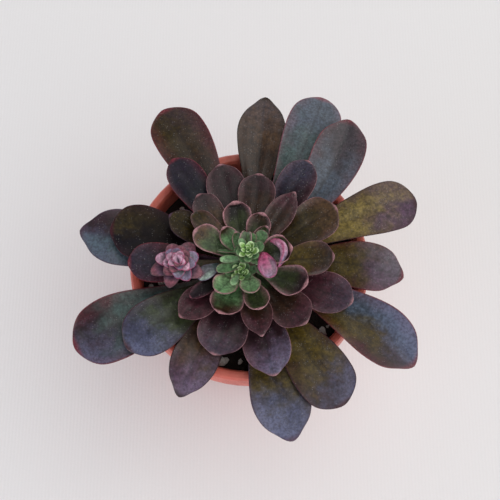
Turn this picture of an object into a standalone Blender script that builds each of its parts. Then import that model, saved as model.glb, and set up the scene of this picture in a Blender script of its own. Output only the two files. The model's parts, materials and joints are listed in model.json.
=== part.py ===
# Potted succulent: a loose rosette of spoon-shaped leaves with one side shoot, in a round plastic pot.
# Metres, +Z up. The origin is the centre of the pot's flat underside, on the surface it stands on.

import math
from dataclasses import dataclass

import bmesh
import bpy
import numpy as np
from mathutils import Vector

MM = 0.001

# ---- Driving dimensions ----
RIM_DIAMETER = 0.110
POT_HEIGHT = 0.095
BASE_DIAMETER = 0.078
COLLAR_HEIGHT = 0.014
COLLAR_STEP = 0.0022
LIP_WIDTH = 0.0048
WALL = 0.0018
FLOOR_RISE = 0.0035
FOOT_WIDTH = 0.0040
CENTRE_DISC_DIAMETER = 0.036
DRAIN_HOLES = 8
DRAIN_DIAMETER = 0.0065
FOOT_NOTCHES = 4
NOTCH_WIDTH = 0.009
NOTCH_DEPTH = 0.002
COLLAR_CHAMFER = 0.0008
FOOT_CHAMFER = 0.0006
POT_STEPS = 64

SOIL_FREEBOARD = 0.010
SOIL_MOUND = 0.0025
SOIL_SHOULDER = 0.004       # level ground round the stem
CLEARANCE = 0.0003

STEM_DIAMETER = 0.012
STEM_TIP_DIAMETER = 0.0036
STEM_DEPTH = 0.022
STEM_RISE = 0.018           # the top of the stem, over the rim
STEM_LEAN = Vector((-0.0022, -0.0056))   # how far its top stands to the side
SIDE_STEM_DIAMETER = 0.0042
SIDE_STEM_STOREYS = 6       # where it leaves the main stem, in storeys over the rim
SHOOT_ROOT = Vector((-0.0350, -0.0048))  # plan place of the side shoot's centre
SHOOT_CORE = 0.0010

BUD_DIAMETER = 0.0060
BUD_HEIGHT = 0.0060
BUD_PLACES = {"heart_bud_north": Vector((-0.0005, -0.0042)), "heart_bud_south": Vector((-0.0040, -0.0108))}
PINK_ROOT = Vector((0.0062, -0.0036))

LEAF_THICKNESS = 0.0026
LEAF_NECK = 0.0068
MUCRO_LENGTH = 0.0013
LEAF_GAP = 0.0004
STOREYS_IN_A_LEAF = 2.6     # heights in the leaf list count storeys, so they grow with the leaves
STOREY = LEAF_THICKNESS / STOREYS_IN_A_LEAF

RIM_RADIUS = RIM_DIAMETER / 2
SOIL_TOP = POT_HEIGHT - SOIL_FREEBOARD
STEM_RADIUS = STEM_DIAMETER / 2


# ---- Scene, collections and materials ----
def clear_scene():
    for obj in list(bpy.data.objects):
        bpy.data.objects.remove(obj, do_unlink=True)


def new_collection(name):
    collection = bpy.data.collections.new(name)
    bpy.context.scene.collection.children.link(collection)
    return collection


def principled(name, colour, roughness, metallic=0.0):
    material = bpy.data.materials.new(name)
    material.use_nodes = True
    shader = material.node_tree.nodes["Principled BSDF"]
    shader.inputs["Base Color"].default_value = (*colour, 1.0)
    shader.inputs["Roughness"].default_value = roughness
    shader.inputs["Metallic"].default_value = metallic
    material.diffuse_color = (*colour, 1.0)
    return material


def add_object(name, mesh, collection, material=None):
    obj = bpy.data.objects.new(name, mesh)
    collection.objects.link(obj)
    if material:
        mesh.materials.append(material)
    mesh.shade_smooth()
    return obj


def mesh_from(bm, name):
    bmesh.ops.recalc_face_normals(bm, faces=bm.faces)
    mesh = bpy.data.meshes.new(name)
    bm.to_mesh(mesh)
    bm.free()
    return mesh


def as_helper(obj):
    obj.hide_render = True
    obj.display_type = "WIRE"
    return obj


# ---- Turned pieces ----
def turned(name, profile, collection, material):
    """A solid of revolution: the profile starts and ends on the axis and runs down its outer side."""
    mesh = bpy.data.meshes.new(name)
    points = [(radius, 0.0, height) for radius, height in profile]
    mesh.from_pydata(points, [(i, i + 1) for i in range(len(points) - 1)], [])
    obj = add_object(name, mesh, collection, material)
    screw = obj.modifiers.new("Turn", "SCREW")
    screw.steps = screw.render_steps = POT_STEPS
    screw.use_merge_vertices = True
    screw.merge_threshold = 0.00001
    return obj


def arc(centre, radius, start, end, count):
    """Points on a round corner, from one angle to another in degrees."""
    angles = [math.radians(start + (end - start) * i / count) for i in range(count + 1)]
    return [(centre[0] + radius * math.cos(a), centre[1] + radius * math.sin(a)) for a in angles]


def pot_outer_radius(height):
    """Outside of the tapered body, below the collar."""
    top = RIM_RADIUS - COLLAR_STEP
    bottom = BASE_DIAMETER / 2
    return bottom + (top - bottom) * height / (POT_HEIGHT - COLLAR_HEIGHT)


def throat_height():
    """Where the sloping inside meets the straight wall behind the lip."""
    slope = (RIM_RADIUS - COLLAR_STEP - BASE_DIAMETER / 2) / (POT_HEIGHT - COLLAR_HEIGHT)
    return min(POT_HEIGHT - COLLAR_HEIGHT, (RIM_RADIUS - LIP_WIDTH + WALL - BASE_DIAMETER / 2) / slope)


def pot_inner_radius(height):
    """Inside of the pot: parallel to the body, then straight up behind the collar and its lip."""
    body = pot_outer_radius(height) - WALL
    return min(body, RIM_RADIUS - LIP_WIDTH)


def make_pot(collection, helpers, material):
    floor_top = FLOOR_RISE + WALL
    step = POT_HEIGHT - COLLAR_HEIGHT
    disc = CENTRE_DISC_DIAMETER / 2
    foot_outer = BASE_DIAMETER / 2
    foot_inner = foot_outer - FOOT_WIDTH
    lip_round = LIP_WIDTH * 0.42
    mouth = RIM_RADIUS - LIP_WIDTH
    profile = [(0.0, WALL), (disc - WALL, WALL), (disc, floor_top)]
    profile += [(pot_inner_radius(floor_top) - WALL, floor_top)]
    profile += [(pot_inner_radius(floor_top + WALL), floor_top + WALL)]
    profile += [(pot_inner_radius(throat_height()), throat_height())]
    profile += arc((mouth + lip_round, POT_HEIGHT - lip_round), lip_round, 180, 90, 3)
    profile += arc((RIM_RADIUS - lip_round, POT_HEIGHT - lip_round), lip_round, 90, 0, 3)
    profile += [(RIM_RADIUS, step + COLLAR_CHAMFER), (RIM_RADIUS - COLLAR_CHAMFER, step)]
    profile += [(pot_outer_radius(step), step), (pot_outer_radius(FOOT_CHAMFER), FOOT_CHAMFER)]
    profile += [(foot_outer - FOOT_CHAMFER, 0.0), (foot_inner, 0.0), (foot_inner - WALL / 3, FLOOR_RISE)]
    profile += [(disc + 2 * WALL / 3, FLOOR_RISE), (disc + WALL / 3, 0.0), (0.0, 0.0)]
    pot = turned("pot", profile, collection, material)

    ring = (disc + foot_inner) / 2
    for i in range(DRAIN_HOLES):
        angle = 2 * math.pi * (i + 0.5) / DRAIN_HOLES
        bm = bmesh.new()
        bmesh.ops.create_cone(bm, cap_ends=True, segments=16, radius1=DRAIN_DIAMETER / 2,
                              radius2=DRAIN_DIAMETER / 2, depth=3 * floor_top)
        cutter = as_helper(add_object(f"drain_cutter_{i + 1}", mesh_from(bm, "drain"), helpers))
        cutter.location = (ring * math.cos(angle), ring * math.sin(angle), FLOOR_RISE)
        cut(pot, cutter)
    for i in range(FOOT_NOTCHES):
        angle = 2 * math.pi * i / FOOT_NOTCHES
        bm = bmesh.new()
        bmesh.ops.create_cube(bm, size=1.0)
        bmesh.ops.scale(bm, vec=(2.5 * FOOT_WIDTH, NOTCH_WIDTH, 2 * NOTCH_DEPTH), verts=bm.verts)
        cutter = as_helper(add_object(f"notch_cutter_{i + 1}", mesh_from(bm, "notch"), helpers))
        radius = foot_outer - FOOT_WIDTH / 2
        cutter.location = (radius * math.cos(angle), radius * math.sin(angle), 0.0)
        cutter.rotation_euler = (0, 0, angle)
        cut(pot, cutter)
    return pot


def cut(obj, cutter):
    boolean = obj.modifiers.new(cutter.name, "BOOLEAN")
    boolean.operation = "DIFFERENCE"
    boolean.solver = "EXACT"
    boolean.object = cutter


def soil_height(radius):
    """The soil is a little higher round the stem than at the wall."""
    return SOIL_TOP - SOIL_MOUND * (radius / (RIM_RADIUS - LIP_WIDTH)) ** 2


def make_soil(collection, material):
    disc = CENTRE_DISC_DIAMETER / 2
    floor_top = FLOOR_RISE + WALL
    well = STEM_RADIUS + CLEARANCE
    edge = pot_inner_radius(SOIL_TOP) - CLEARANCE
    corner = floor_top + WALL + CLEARANCE
    profile = [(0.0, SOIL_TOP - STEM_DEPTH), (well, SOIL_TOP - STEM_DEPTH)]
    radii = [well, well + SOIL_SHOULDER, edge * 0.45, edge * 0.75, edge]
    profile += [(radius, soil_height(radius)) for radius in radii]
    throat = min(throat_height(), soil_height(edge) - CLEARANCE)
    profile += [(pot_inner_radius(throat) - CLEARANCE, throat)]
    profile += [(pot_inner_radius(corner) - 3 * CLEARANCE, corner)]
    profile += [(pot_inner_radius(floor_top) - WALL - CLEARANCE, floor_top + CLEARANCE)]
    profile += [(disc - CLEARANCE, floor_top + CLEARANCE), (disc - WALL - 3 * CLEARANCE, WALL + CLEARANCE)]
    profile += [(0.0, WALL + CLEARANCE)]
    return turned("soil", profile, collection, material)


# ---- The leaf ----
@dataclass
class Leaf:
    """One leaf, in degrees and millimetres. Rises and bows are heights over the rim, in storeys."""
    name: str
    heading: float          # compass of the tip seen from the stem, 0 along +X, 90 along +Y
    reach: float            # stem axis to the end of the blade
    width: float            # the blade at its widest
    tip_rise: float
    arch: float = 2.0       # bow: how far the middle stands over the line from base to tip
    bend: float = 0.0       # sideways bow of the midline, + towards a larger heading
    fold: float = 0.0       # how far the edges stand over the midrib, as a V
    cup: float = 0.8        # the same, as a hollow
    widest: float = 0.70    # where along the leaf it is widest
    blunt: float = 2.2      # 1.4 is a pointed end, 3 a broad round one
    neck: float = 1.0       # base width, as a share of LEAF_NECK
    waist: float = 1.4      # above 1 the leaf stays narrow for longer
    thick: float = 1.0      # as a share of LEAF_THICKNESS
    rise: float = -7.0      # where it leaves the stem, before it is laid over the others
    root: Vector = None     # plan place it grows from, where that isn't the stem
    fine: bool = True
    finish: str = "outer_leaf"


def ease(x):
    x = min(max(x, 0.0), 1.0)
    return x * x * (3 - 2 * x)


def stem_share(height):
    """0 at the soil, 1 at the top of the stem."""
    return max(0.0, (height - SOIL_TOP) / (STEM_RISE + SOIL_FREEBOARD))


def stem_axis(height):
    """Plan position of the stem's centre at a height: it leans a little."""
    return STEM_LEAN * stem_share(height)


def stem_radius(height):
    share = min(1.0, stem_share(height))
    return STEM_RADIUS + (STEM_TIP_DIAMETER / 2 - STEM_RADIUS) * share


def half_width(leaf, s):
    neck = LEAF_NECK * leaf.neck
    full = leaf.width * MM
    if s <= leaf.widest:
        wide = neck + (full - neck) * ease(s / leaf.widest) ** leaf.waist
    else:
        past = (s - leaf.widest) / (1 - leaf.widest)
        wide = full * math.sqrt(max(0.0, 1 - past ** leaf.blunt))
    if s < 0.06:
        wide *= math.sqrt(max(0.0, 1 - (1 - s / 0.06) ** 2))
    return wide / 2


def half_thickness(leaf, s):
    body = 0.72 + 0.28 * math.sin(math.pi * min(1.0, s * 1.15))
    ends = math.sqrt(max(0.0, 1 - abs(2 * s - 1) ** 7))
    return LEAF_THICKNESS * leaf.thick * body * ends / 2


def midline(leaf, s, lift):
    """Point on the leaf's midline, s from 0 at the stem to 1 at the tip."""
    heading = math.radians(leaf.heading)
    along = Vector((math.cos(heading), math.sin(heading)))
    aside = Vector((-along.y, along.x))
    low = POT_HEIGHT + leaf.rise * STOREY
    high = POT_HEIGHT + leaf.tip_rise * STOREY
    attached = low + lift(0)
    root = leaf.root or stem_axis(attached)
    start = root + along * ((SHOOT_CORE if leaf.root else stem_radius(attached)) + 2 * CLEARANCE)
    end = (leaf.root or stem_axis(low)) + along * leaf.reach * MM
    plan = start.lerp(end, s) + aside * leaf.bend * MM * 4 * s * (1 - s)
    height = low + (high - low) * s + leaf.arch * STOREY * 4 * s * (1 - s)
    return Vector((plan.x, plan.y, height + lift(s)))


def leaf_point(leaf, s, turn, lift):
    """Point on the skin: turn goes round the section, 0 at one edge, 90 on top, 180 at the other edge."""
    step = 0.01
    here = midline(leaf, s, lift)
    tangent = (midline(leaf, min(1, s + step), lift) - midline(leaf, max(0, s - step), lift)).normalized()
    aside = Vector((0, 0, 1)).cross(tangent).normalized()
    normal = tangent.cross(aside)
    opened = ease(s / 0.5)
    across = math.cos(turn)
    wide = half_width(leaf, s)
    over = half_thickness(leaf, s) * math.sin(turn) * (0.8 if math.sin(turn) > 0 else 1.2)
    over += opened * MM * (leaf.cup * across ** 2 + leaf.fold * abs(across)) * wide / (leaf.width * MM / 2)
    point = here + aside * wide * across + normal * over
    if s >= 0.9999:
        point += tangent * MUCRO_LENGTH * min(1.0, leaf.width / 14)
    return point


# ---- Laying the leaves one over another ----
GRID_STEP = 0.0005
GRID_HALF = 0.110
SAMPLES = 9


class Heap:
    """The highest surface laid so far, on a square grid seen from above."""

    def __init__(self):
        side = int(2 * GRID_HALF / GRID_STEP) + 1
        self.top = np.full((side, side), -1.0)
        x = np.linspace(-GRID_HALF, GRID_HALF, side)
        radius = np.hypot(x[:, None], x[None, :])
        self.top[radius < RIM_RADIUS] = POT_HEIGHT
        inside = radius < RIM_RADIUS - LIP_WIDTH
        self.top[inside] = SOIL_TOP

    def cells(self, points):
        return np.clip(np.round((points[..., :2] + GRID_HALF) / GRID_STEP).astype(int), 1,
                       self.top.shape[0] - 2)

    def add(self, points):
        cells = self.cells(points)
        np.maximum.at(self.top, (cells[..., 0].ravel(), cells[..., 1].ravel()), points[..., 2].ravel())

    def under(self, points):
        cells = self.cells(points)
        found = np.full(cells.shape[:-1], -1.0)
        for dx in (-1, 0, 1):
            for dy in (-1, 0, 1):
                found = np.maximum(found, self.top[cells[..., 0] + dx, cells[..., 1] + dy])
        return found


def patches(rings):
    """Points spread over each facet between neighbouring rings: ring, side, sample, sample, xyz."""
    first = rings[:-1]
    second = rings[1:]
    share = np.linspace(0, 1, SAMPLES)
    a = share[:, None, None]
    b = share[None, :, None]
    p00 = first[:, :, None, None, :]
    p10 = second[:, :, None, None, :]
    p01 = np.roll(first, -1, axis=1)[:, :, None, None, :]
    p11 = np.roll(second, -1, axis=1)[:, :, None, None, :]
    return (p00 * (1 - a) + p10 * a) * (1 - b) + (p01 * (1 - a) + p11 * a) * b


def arched_over(places, needs):
    """The lowest line over every need that only ever bends downwards."""
    arch = np.array(needs, dtype=float)
    for i, left in enumerate(places):
        for j in range(i + 1, len(places)):
            share = (places - left) / (places[j] - left)
            line = needs[i] + (needs[j] - needs[i]) * share
            between = (share >= 0) & (share <= 1)
            arch[between] = np.maximum(arch[between], line[between])
    return arch


def sphere_counts(leaf):
    return (12, 10) if leaf.fine else (8, 8)


def ring_places(count):
    return np.array([(1 - math.cos(math.pi * i / count)) / 2 for i in range(count + 1)])


def ring_points(leaf, lift):
    segments, rings = sphere_counts(leaf)
    turns = [2 * math.pi * j / segments for j in range(segments)]
    return np.array([[leaf_point(leaf, s, turn, lift) for turn in turns] for s in ring_places(rings)])


def settle(leaf, heap):
    """How far each ring of the leaf has to rise to clear what lies below it."""
    places = ring_places(sphere_counts(leaf)[1])
    lifts = np.zeros(len(places))
    for _ in range(4):
        lift = lifting(places, lifts)
        points = patches(ring_points(leaf, lift))
        short = heap.under(points) + LEAF_GAP - points[..., 2]
        short = short.max(axis=(1, 2, 3))
        if short.max() <= 0:
            break
        needs = np.zeros(len(places))
        needs[:-1] = np.maximum(needs[:-1], short)
        needs[1:] = np.maximum(needs[1:], short)
        lifts = arched_over(places, lifts + np.maximum(needs, 0) * 1.02)
    return lifting(places, lifts)


def lifting(places, lifts):
    return lambda s: float(np.interp(s, places, lifts))


def make_leaf(leaf, heap, collection, materials):
    lift = settle(leaf, heap)
    segments, rings = sphere_counts(leaf)
    bm = bmesh.new()
    bmesh.ops.create_uvsphere(bm, u_segments=segments, v_segments=rings, radius=1.0)
    for vert in bm.verts:
        s = (1 + vert.co.z) / 2
        turn = math.atan2(vert.co.y, vert.co.x)
        vert.co = leaf_point(leaf, s, turn, lift)
    heap.add(patches(ring_points(leaf, lift)))
    return add_object(leaf.name, mesh_from(bm, leaf.name), collection, materials[leaf.finish])


OUTER = dict(rise=-7, finish="outer_leaf")
OVER = dict(rise=-3, finish="outer_leaf")
MIDDLE = dict(rise=0, finish="middle_leaf", arch=0.8)
UPPER = dict(rise=5, finish="middle_leaf", thick=0.85, neck=0.85, arch=-0.5)
INNER = dict(rise=9, finish="inner_leaf", thick=0.7, neck=0.5, fine=False, arch=-1.5)
HEART = dict(rise=13, finish="inner_leaf", thick=0.55, neck=0.35, fine=False, cup=1.2, arch=-1.5)
SHOOT = dict(rise=12, finish="pink_leaf", thick=0.5, neck=0.4, fine=False, cup=1.2, arch=-1.2,
             root=SHOOT_ROOT)

# Outer leaves first: each one lies over those above it in the list.
LEAVES = [
    Leaf("outer_leaf_north_west", 118.5, 84, 26, 9, bend=-1, arch=3, widest=0.80, blunt=2.6, **OUTER),
    Leaf("outer_leaf_north", 84.5, 79, 23, 9, widest=0.78, blunt=1.7, waist=2.2, fold=1.5, **OUTER),
    Leaf("outer_leaf_north_east_low", 66, 87.5, 25, 7, bend=-2, widest=0.80, blunt=2.6, **OUTER),
    Leaf("outer_leaf_west", 170, 76, 27, 8, widest=0.78, blunt=1.8, **OUTER),
    Leaf("outer_leaf_south_west_low", 208, 86, 30, 7, widest=0.78, blunt=2.6, **OUTER),
    Leaf("outer_leaf_east", 353, 67.5, 23, 9, bend=4, widest=0.78, blunt=2.4, **OUTER),
    Leaf("outer_leaf_south_east_fold", 326, 85, 26, 9, bend=4, widest=0.78, fold=4, blunt=2.4, **OUTER),
    Leaf("outer_leaf_south", 283, 81, 26, 7, bend=-1, widest=0.80, blunt=1.8, **OUTER),
    Leaf("outer_leaf_south_south_west", 244, 67, 21, 8, bend=-1, widest=0.76, blunt=1.9, **OUTER),
    Leaf("outer_leaf_south_east", 302, 77, 26, 8, bend=-1, widest=0.78, blunt=3.0, **OUTER),
    Leaf("outer_leaf_east_north_east", 20, 81, 24, 10, bend=2, widest=0.84, blunt=2.8, **OUTER),
    Leaf("outer_leaf_west_over", 168, 63, 26, 11, bend=-3, widest=0.80, blunt=2.2, **OVER),
    Leaf("outer_leaf_south_west_over", 218, 66, 25, 12, bend=-1, widest=0.78, blunt=2.2, **OVER),
    Leaf("outer_leaf_north_east_over", 54, 80, 24, 13, bend=-7, widest=0.80, blunt=2.4, fold=2, **OVER),
    Leaf("outer_leaf_west_low", 183, 53, 19, 10, widest=0.78, **OVER),
    Leaf("outer_leaf_north_north_west", 126, 59, 17, 10, widest=0.80, **OVER),
    Leaf("middle_leaf_north_west", 106, 46, 18, 13, widest=0.76, **MIDDLE),
    Leaf("middle_leaf_north_east", 58, 53, 17, 13, widest=0.78, **MIDDLE),
    Leaf("middle_leaf_south", 282, 53, 21, 12, widest=0.74, **MIDDLE),
    Leaf("middle_leaf_south_south_west", 252, 46, 22, 13, widest=0.74, **MIDDLE),
    Leaf("middle_leaf_east_south_east", 335.5, 50, 19, 14, widest=0.76, **MIDDLE),
    Leaf("middle_leaf_south_west", 224, 40, 15, 16, widest=0.74, blunt=1.8, **MIDDLE),
    Leaf("middle_leaf_east_north_east", 29, 45, 20, 17, widest=0.80, **MIDDLE),
    Leaf("middle_leaf_north", 82, 39, 17, 15, widest=0.78, **MIDDLE),
    Leaf("middle_leaf_west_north_west", 152, 39, 13, 17, widest=0.78, **MIDDLE),
    Leaf("middle_leaf_south_east", 308, 40, 18, 18, widest=0.76, **MIDDLE),
    Leaf("middle_leaf_east", 359, 38, 16, 19, widest=0.78, **UPPER),
    Leaf("middle_leaf_north_north_west", 127, 36, 13, 17, widest=0.80, **UPPER),
    Leaf("middle_leaf_north_east_point", 54, 36, 13, 18, widest=0.70, blunt=1.5, **UPPER),
    Leaf("middle_leaf_south_point", 280, 36, 14, 19, widest=0.70, blunt=1.5, **UPPER),
    Leaf("middle_leaf_west_sliver", 140, 31, 10, 18, widest=0.74, **UPPER),
    Leaf("inner_leaf_east", 332, 30, 15, 22, widest=0.76, **INNER),
    Leaf("inner_leaf_south_west", 247, 28.5, 15, 20, widest=0.74, **INNER),
    Leaf("inner_leaf_north", 101, 26, 13, 20, widest=0.76, **INNER),
    Leaf("inner_leaf_west", 154, 25, 12, 22, widest=0.74, **INNER),
    Leaf("inner_leaf_south_west_low", 217, 30, 7, 19, widest=0.74, **INNER),
    Leaf("inner_leaf_south", 284, 26, 11.5, 23, widest=0.74, **INNER),
    Leaf("inner_leaf_north_east", 68, 20.5, 11, 23, widest=0.74, **INNER),
    Leaf("inner_leaf_west_south_west", 234, 21, 11, 24, widest=0.70, **HEART),
    Leaf("inner_leaf_south_green", 280, 18, 9.5, 25, widest=0.70, **HEART),
    Leaf("inner_leaf_north_west_curled", 128, 16, 8.5, 25, widest=0.70, **HEART),
    Leaf("heart_leaf_north_east", 52, 16, 7, 26, widest=0.66, **HEART),
    Leaf("pink_leaf_outer", 6, 20, 13, 27, widest=0.70, **{**HEART, "finish": "pink_leaf", "cup": 3.0}),
    Leaf("heart_leaf_north_west", 112, 11, 5.5, 26, widest=0.60, **HEART),
    Leaf("heart_leaf_north", 85, 9, 5.5, 26, widest=0.60, **HEART),
    Leaf("pink_leaf_inner", 284, 13.5, 8, 26, widest=0.50, root=PINK_ROOT,
         **{**HEART, "finish": "pink_leaf", "cup": -2, "arch": 2}),
    Leaf("side_shoot_leaf_1", 75, 11, 9, 20, widest=0.60, **SHOOT),
    Leaf("side_shoot_leaf_2", 15, 13, 8, 21, widest=0.60, **SHOOT),
    Leaf("side_shoot_leaf_3", 305, 13, 7.5, 22, widest=0.60, **SHOOT),
    Leaf("side_shoot_leaf_4", 250, 11, 8, 24, widest=0.60, **SHOOT),
    Leaf("side_shoot_leaf_5", 165, 9.5, 8, 24, widest=0.60, **SHOOT),
    Leaf("side_shoot_leaf_6", 205, 7.5, 6.5, 26, widest=0.60, **SHOOT),
    Leaf("side_shoot_leaf_7", 330, 8, 6, 26, widest=0.60, **SHOOT),
    Leaf("side_shoot_leaf_8", 80, 7.5, 6.5, 27, widest=0.60, **SHOOT),
]


# ---- Stems and buds ----
def tube(name, points, radii, collection, material):
    """A stem along a few points, its thickness changing from one to the next."""
    curve = bpy.data.curves.new(name, "CURVE")
    curve.dimensions = "3D"
    curve.bevel_depth = 1.0
    curve.bevel_resolution = 3
    curve.use_fill_caps = True
    curve.resolution_u = 1
    spline = curve.splines.new("POLY")
    spline.points.add(len(points) - 1)
    for place, point, radius in zip(spline.points, points, radii):
        place.co = (*point, 1.0)
        place.radius = radius
    curve.materials.append(material)
    obj = bpy.data.objects.new(name, curve)
    collection.objects.link(obj)
    return obj


def make_stem(heap, collection, material):
    foot = SOIL_TOP - STEM_DEPTH + CLEARANCE
    heights = [foot, SOIL_TOP] + [POT_HEIGHT + STEM_RISE * share for share in (-0.3, 0.1, 0.5, 0.85, 1.0)]
    points = [(*stem_axis(height), height) for height in heights]
    radii = [stem_radius(height) for height in heights[:-1]] + [stem_radius(heights[-1]) * 0.6]
    tube("stem", points, radii, collection, material)
    top = Vector(points[-1])
    heap.add(np.array([top + Vector((math.cos(a), math.sin(a), 0)) * r * radii[-2]
                       for a in np.linspace(0, 2 * math.pi, 24) for r in (0, 0.5, 1)]))


def make_side_stem(heap, collection, material):
    """The side shoot's stem lies over the leaves between the main stem and the shoot."""
    radius = SIDE_STEM_DIAMETER / 2
    low = POT_HEIGHT + SIDE_STEM_STOREYS * STOREY
    axis = stem_axis(low)
    away = (SHOOT_ROOT - axis).normalized()
    start = axis + away * (stem_radius(low) + 2 * CLEARANCE)
    count = 9
    plan = [start.lerp(SHOOT_ROOT, i / (count - 1)) for i in range(count)]
    places = np.linspace(0, 1, count)
    needs = []
    for point in plan:
        spread = [(point.x + radius * math.cos(a), point.y + radius * math.sin(a), 0)
                  for a in np.linspace(0, 2 * math.pi, 12)]
        needs.append(heap.under(np.array(spread)).max() + LEAF_GAP + radius)
    heights = np.maximum(arched_over(places, needs), low)
    points = [(point.x, point.y, height) for point, height in zip(plan, heights)]
    radii = [radius * (1.0 - 0.25 * place) for place in places]
    tube("side_stem", points, radii, collection, material)
    aside = Vector((-away.y, away.x, 0))
    fine = np.linspace(0, 1, 80)
    for share in (-1, -0.5, 0, 0.5, 1):
        rise = radius * math.sqrt(1 - share * share * 0.9)
        heap.add(np.array([[np.interp(f, places, [p[0] for p in points]) + aside.x * share * radius,
                            np.interp(f, places, [p[1] for p in points]) + aside.y * share * radius,
                            np.interp(f, places, heights) + rise] for f in fine]))


def make_bud(name, place, heap, collection, material):
    """A growing tip, an egg that sits on what is below it."""
    bm = bmesh.new()
    bmesh.ops.create_uvsphere(bm, u_segments=12, v_segments=8, radius=0.5)
    bmesh.ops.scale(bm, vec=(BUD_DIAMETER, BUD_DIAMETER, BUD_HEIGHT), verts=bm.verts)
    bmesh.ops.translate(bm, vec=(place.x, place.y, 0), verts=bm.verts)
    points = np.array([vert.co[:] for vert in bm.verts])
    rise = (heap.under(points) + LEAF_GAP - points[:, 2])[points[:, 2] <= 0].max()
    bmesh.ops.translate(bm, vec=(0, 0, rise), verts=bm.verts)
    points[:, 2] += rise
    heap.add(points)
    return add_object(name, mesh_from(bm, name), collection, material)


def build():
    clear_scene()
    parts = new_collection("potted_succulent")
    helpers = new_collection("cutters")
    materials = {
        "pot": principled("pot", (0.52, 0.13, 0.08), 0.42),
        "soil": principled("soil", (0.035, 0.028, 0.024), 0.95),
        "stem": principled("stem", (0.22, 0.20, 0.12), 0.70),
        "outer_leaf": principled("outer_leaf", (0.075, 0.070, 0.055), 0.38),
        "middle_leaf": principled("middle_leaf", (0.10, 0.075, 0.07), 0.40),
        "inner_leaf": principled("inner_leaf", (0.13, 0.20, 0.10), 0.42),
        "pink_leaf": principled("pink_leaf", (0.45, 0.15, 0.25), 0.42),
        "heart": principled("heart", (0.25, 0.45, 0.15), 0.45),
    }
    make_pot(parts, helpers, materials["pot"])
    make_soil(parts, materials["soil"])
    heap = Heap()
    for leaf in LEAVES:
        if leaf.rise > SIDE_STEM_STOREYS - 2 and "side_stem" not in parts.objects:
            make_side_stem(heap, parts, materials["stem"])
        make_leaf(leaf, heap, parts, materials)
    make_stem(heap, parts, materials["stem"])
    for name, place in BUD_PLACES.items():
        make_bud(name, place, heap, parts, materials["heart"])


build()
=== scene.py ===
# Looks of the potted succulent: leaves, growing tips, stems, soil, pot, studio and camera.
import math
import random

import bmesh
import bpy
import numpy as np
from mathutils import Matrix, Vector, noise
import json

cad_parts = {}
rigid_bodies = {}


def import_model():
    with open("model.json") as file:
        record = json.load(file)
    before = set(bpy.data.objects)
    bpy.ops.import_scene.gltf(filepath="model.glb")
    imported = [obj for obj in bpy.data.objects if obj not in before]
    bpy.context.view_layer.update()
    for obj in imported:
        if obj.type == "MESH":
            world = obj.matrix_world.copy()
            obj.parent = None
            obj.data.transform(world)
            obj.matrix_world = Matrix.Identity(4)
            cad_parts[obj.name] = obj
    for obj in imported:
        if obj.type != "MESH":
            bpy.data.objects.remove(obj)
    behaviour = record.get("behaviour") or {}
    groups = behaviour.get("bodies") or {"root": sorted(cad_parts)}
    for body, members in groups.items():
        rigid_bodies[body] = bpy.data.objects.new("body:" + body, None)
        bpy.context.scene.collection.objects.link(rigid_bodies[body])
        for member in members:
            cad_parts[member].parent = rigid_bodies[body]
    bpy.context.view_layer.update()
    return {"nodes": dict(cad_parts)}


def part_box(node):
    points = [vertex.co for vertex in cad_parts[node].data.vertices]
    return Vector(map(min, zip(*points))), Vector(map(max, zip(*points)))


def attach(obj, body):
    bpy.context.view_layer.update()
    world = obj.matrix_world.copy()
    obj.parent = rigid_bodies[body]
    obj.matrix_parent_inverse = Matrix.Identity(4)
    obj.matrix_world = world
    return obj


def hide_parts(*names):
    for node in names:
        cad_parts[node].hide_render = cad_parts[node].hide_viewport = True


for thing in list(bpy.data.objects):
    bpy.data.objects.remove(thing, do_unlink=True)
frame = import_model()
nodes = frame["nodes"]
millimetre = 0.001
scene = bpy.context.scene
print("frame loaded:", len(nodes), "nodes")

# Colours as they look on a screen, 0 to 255.
tones = {
    "coal": (22, 15, 17), "umber": (52, 36, 25), "moss": (52, 43, 18), "olive": (80, 67, 28),
    "khaki": (120, 104, 56), "bronze": (78, 58, 40), "plum": (46, 29, 34), "wine": (66, 36, 44),
    "mauve": (80, 58, 76), "slate": (56, 58, 80), "steel": (74, 84, 98), "teal": (60, 80, 78),
    "mist": (106, 108, 114), "lavender": (118, 104, 130), "fern": (70, 90, 58), "leaf": (104, 142, 98),
    "mint": (138, 176, 128), "lime": (138, 180, 98), "pale": (204, 230, 174), "rose": (126, 74, 86),
    "pink": (160, 84, 116), "blush": (194, 150, 172), "maroon": (110, 46, 56), "grape": (32, 18, 28),
    "waxSheen": (84, 92, 116), "bark": (80, 66, 46), "sage": (54, 62, 38), "dust": (150, 146, 144),
    "shell": (150, 106, 112), "curl": (178, 128, 134), "sheen": (114, 118, 150), "night": (28, 30, 40),
    "magenta": (150, 48, 88), "frost": (170, 190, 178),
}


def tone(name):
    values = tones[name] if isinstance(name, str) else name
    return (*[(value / 255) ** 2.2 for value in values], 1.0)


def put(tree, kind, settings=None, sockets=None):
    node = tree.nodes.new(kind)
    for key, value in (settings or {}).items():
        setattr(node, key, value)
    for key, value in (sockets or {}).items():
        if isinstance(value, bpy.types.NodeSocket):
            tree.links.new(value, node.inputs[key])
        else:
            node.inputs[key].default_value = value
    return node


def calc(tree, operation, first, second=0.0, clamp=False):
    return put(tree, "ShaderNodeMath", {"operation": operation, "use_clamp": clamp},
               {0: first, 1: second}).outputs[0]


def ramp(tree, value, low, high, start=0.0, end=1.0):
    node = put(tree, "ShaderNodeMapRange", {"interpolation_type": "SMOOTHSTEP"},
               {"Value": value, "From Min": low, "From Max": high, "To Min": start, "To Max": end})
    return node.outputs[0]


def mixTones(tree, share, first, second, mode="MIX"):
    node = put(tree, "ShaderNodeMix", {"data_type": "RGBA", "blend_type": mode},
               {0: share, 6: first, 7: second})
    return node.outputs[2]


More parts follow.
